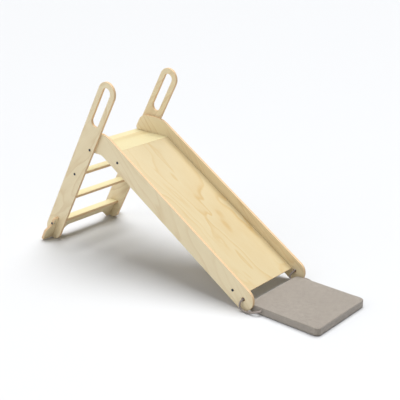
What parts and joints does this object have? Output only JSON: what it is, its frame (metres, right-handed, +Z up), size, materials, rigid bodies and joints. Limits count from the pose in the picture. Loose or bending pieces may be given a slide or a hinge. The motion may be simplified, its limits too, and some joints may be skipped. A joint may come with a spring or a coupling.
{
  "type": "toddler slide",
  "caption": "Folding plywood slide with a treaded ladder, handle slots, a low platform, a chute between side boards and a padded landing mat tied to its end.",
  "frame": {"origin": "on the floor, under the middle of the object's length and width, cords left out", "axes": "+X from the ladder's foot to the mat, +Y to the left of a child facing down the chute, +Z up"},
  "size_m": [1.8854, 0.6174, 0.9999],
  "materials": {
    "birch_ply": "clear-lacquered birch plywood face, plies showing on the edges",
    "chute_ply": "clear-lacquered birch plywood face, smooth and slightly glossier",
    "birch_tread": "clear-lacquered birch plywood, flat sawn face",
    "bolt_steel": "black-zinc plated low-head furniture bolt",
    "nut_steel": "zinc-plated barrel nut",
    "beech": "plain beech dowel",
    "nylon": "natural nylon bush",
    "mat_fabric": "warm grey woven cover",
    "foam": "firm foam block",
    "grip_fabric": "dotted non-slip underside",
    "cord": "grey-brown braided cord"
  },
  "bodies": {
    "ladder": {"ladder_side_left": "birch_ply", "ladder_side_right": "birch_ply", "tread_lower": "birch_tread", "tread_middle": "birch_tread", "tread_upper": "birch_tread", "tread_top": "birch_tread", "brace_board": "birch_ply", "outrigger_left": "birch_ply", "outrigger_right": "birch_ply", "outrigger_bolt_left": "bolt_steel", "outrigger_bolt_right": "bolt_steel", "outrigger_nut_left": "nut_steel", "outrigger_nut_right": "nut_steel", "lower_tread_nut_left": "nut_steel", "lower_tread_nut_right": "nut_steel", "brace_dowel_left": "beech", "brace_dowel_right": "beech", "upper_tread_bolt_left": "bolt_steel", "upper_tread_bolt_right": "bolt_steel", "upper_tread_nut_left": "nut_steel", "upper_tread_nut_right": "nut_steel", "pivot_bush_left": "nylon", "pivot_bush_right": "nylon"},
    "slide": {"slide_side_left": "birch_ply", "slide_side_right": "birch_ply", "platform_board": "birch_tread", "chute_panel": "chute_ply", "cross_rail_upper": "birch_ply", "cross_rail_lower": "birch_ply", "upper_rail_bolt_left": "bolt_steel", "upper_rail_bolt_right": "bolt_steel", "lower_rail_bolt_left": "bolt_steel", "lower_rail_bolt_right": "bolt_steel", "upper_rail_nut_left": "nut_steel", "upper_rail_nut_right": "nut_steel", "lower_rail_nut_left": "nut_steel", "lower_rail_nut_right": "nut_steel", "pivot_bolt_left": "bolt_steel", "pivot_bolt_right": "bolt_steel", "pivot_nut_left": "nut_steel", "pivot_nut_right": "nut_steel"},
    "mat": {"mat_cover": "mat_fabric", "mat_core": "foam", "mat_base": "grip_fabric", "tie_cord_left": "cord", "tie_cord_right": "cord"}
  },
  "joints": [
    {"name": "ladder_fold", "type": "hinge", "parent": "slide", "child": "ladder", "pos_m": [-0.53316, 0, 0.607], "axis": [0, -1, 0], "range_deg": [0, 87.8]},
    {"name": "mat_flip", "type": "hinge", "parent": "slide", "child": "mat", "pos_m": [0.5157, 0, 0.06], "axis": [0, -1, 0], "range_deg": [0, 128]}
  ]
}
